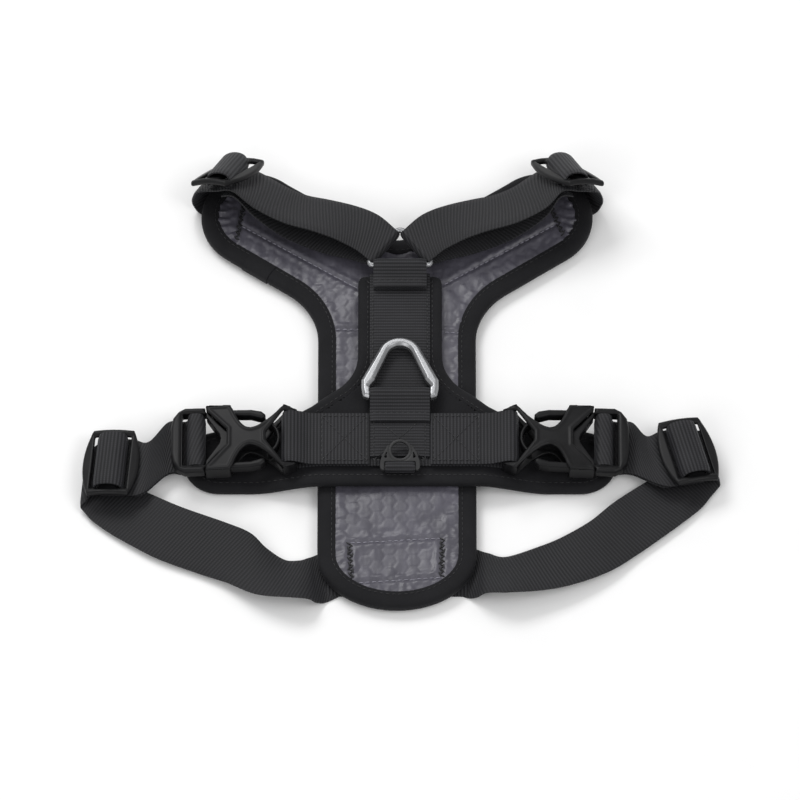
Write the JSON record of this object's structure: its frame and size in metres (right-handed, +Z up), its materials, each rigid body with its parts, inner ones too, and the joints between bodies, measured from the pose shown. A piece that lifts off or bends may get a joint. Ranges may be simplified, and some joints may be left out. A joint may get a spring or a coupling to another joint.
{
  "type": "dog harness",
  "caption": "Padded Y-shaped dog harness laid flat: chest and back panels, webbing straps with sliders, two side-release buckles, a metal leash ring and a small tag ring.",
  "frame": {"origin": "middle of the harness, on the surface that it lies on", "axes": "+X to the right-hand buckle, +Y towards the neck end, +Z up out of the surface"},
  "size_m": [0.3189, 0.2654, 0.0385],
  "materials": {
    "shell_fabric": "plain woven nylon shell, matt",
    "foam": "soft closed-cell padding",
    "lining": "satin lining embossed with small hexagons",
    "binding_tape": "matt woven edge tape",
    "webbing": "ribbed woven webbing with a slight sheen",
    "ring_aluminium": "satin anodised aluminium",
    "black_plastic": "moulded acetal, satin gloss"
  },
  "bodies": {
    "harness": {"chest_outer_shell": "shell_fabric", "chest_foam": "foam", "chest_lining": "lining", "chest_binding": "binding_tape", "belly_web": "webbing", "back_outer_shell": "shell_fabric", "back_foam": "foam", "back_lining": "lining", "back_binding": "binding_tape", "spine_web": "webbing", "cross_web": "webbing", "leash_loop": "webbing", "neck_loop": "webbing", "tag_loop": "webbing", "neck_ring": "ring_aluminium", "shoulder_strap_left": "webbing", "shoulder_strap_right": "webbing", "buckle_female_left": "black_plastic", "buckle_female_right": "black_plastic"},
    "leash_ring": {"leash_ring": "ring_aluminium"},
    "tag_ring": {"tag_ring": "black_plastic"},
    "left_buckle": {"buckle_male_left": "black_plastic", "belly_strap_left": "webbing"},
    "left_upper_arm": {"buckle_left_upper_arm": "black_plastic"},
    "left_lower_arm": {"buckle_left_lower_arm": "black_plastic"},
    "left_belly_slider": {"belly_slider_left": "black_plastic", "belly_slider_web_left": "webbing"},
    "left_shoulder_slider": {"shoulder_slider_left": "black_plastic", "shoulder_slider_web_left": "webbing"},
    "right_buckle": {"buckle_male_right": "black_plastic", "belly_strap_right": "webbing"},
    "right_upper_arm": {"buckle_right_upper_arm": "black_plastic"},
    "right_lower_arm": {"buckle_right_lower_arm": "black_plastic"},
    "right_belly_slider": {"belly_slider_right": "black_plastic", "belly_slider_web_right": "webbing"},
    "right_shoulder_slider": {"shoulder_slider_right": "black_plastic", "shoulder_slider_web_right": "webbing"}
  },
  "joints": [
    {"name": "leash_ring_flip", "type": "hinge", "parent": "harness", "child": "leash_ring", "pos_m": [-0.0003, -0.0151, 0.01835], "axis": [1, 0, 0], "range_deg": [0, 140]},
    {"name": "tag_ring_flip", "type": "hinge", "parent": "harness", "child": "tag_ring", "pos_m": [-0.0003, -0.0573, 0.0166], "axis": [1, 0, 0], "range_deg": [0, 150]},
    {"name": "left_buckle_release", "type": "slide", "parent": "harness", "child": "left_buckle", "axis": [-0.9986, 0, -0.0523], "range_m": [0, 0.034]},
    {"name": "left_upper_arm_squeeze", "type": "hinge", "parent": "left_buckle", "child": "left_upper_arm", "pos_m": [-0.09231, -0.0243, 0.01306], "axis": [0.0523, 0, -0.9986], "range_deg": [0, 7], "stiffness_Nm_per_rad": 0.3},
    {"name": "left_lower_arm_squeeze", "type": "hinge", "parent": "left_buckle", "child": "left_lower_arm", "pos_m": [-0.09231, -0.0549, 0.01306], "axis": [-0.0523, 0, 0.9986], "range_deg": [0, 7], "stiffness_Nm_per_rad": 0.3},
    {"name": "left_belly_slider_adjust", "type": "slide", "parent": "left_buckle", "child": "left_belly_slider", "axis": [0.9865, -0.0863, 0.1392], "range_m": [0, 0.006]},
    {"name": "left_shoulder_slider_adjust", "type": "slide", "parent": "harness", "child": "left_shoulder_slider", "axis": [0.8472, -0.3, 0.4384], "range_m": [0, 0.006]},
    {"name": "right_buckle_release", "type": "slide", "parent": "harness", "child": "right_buckle", "axis": [0.9986, 0, -0.0523], "range_m": [0, 0.034]},
    {"name": "right_upper_arm_squeeze", "type": "hinge", "parent": "right_buckle", "child": "right_upper_arm", "pos_m": [0.09171, -0.0243, 0.01306], "axis": [0.0523, 0, 0.9986], "range_deg": [0, 7], "stiffness_Nm_per_rad": 0.3},
    {"name": "right_lower_arm_squeeze", "type": "hinge", "parent": "right_buckle", "child": "right_lower_arm", "pos_m": [0.09171, -0.0549, 0.01306], "axis": [-0.0523, 0, -0.9986], "range_deg": [0, 7], "stiffness_Nm_per_rad": 0.3},
    {"name": "right_belly_slider_adjust", "type": "slide", "parent": "right_buckle", "child": "right_belly_slider", "axis": [-0.9565, -0.2563, 0.1392], "range_m": [0, 0.006]},
    {"name": "right_shoulder_slider_adjust", "type": "slide", "parent": "harness", "child": "right_shoulder_slider", "axis": [-0.8472, -0.3, 0.4384], "range_m": [0, 0.006]}
  ],
  "couplings": [
    {"joint": "left_lower_arm_squeeze", "follows": "left_upper_arm_squeeze", "ratio": 1},
    {"joint": "right_lower_arm_squeeze", "follows": "right_upper_arm_squeeze", "ratio": 1}
  ]
}
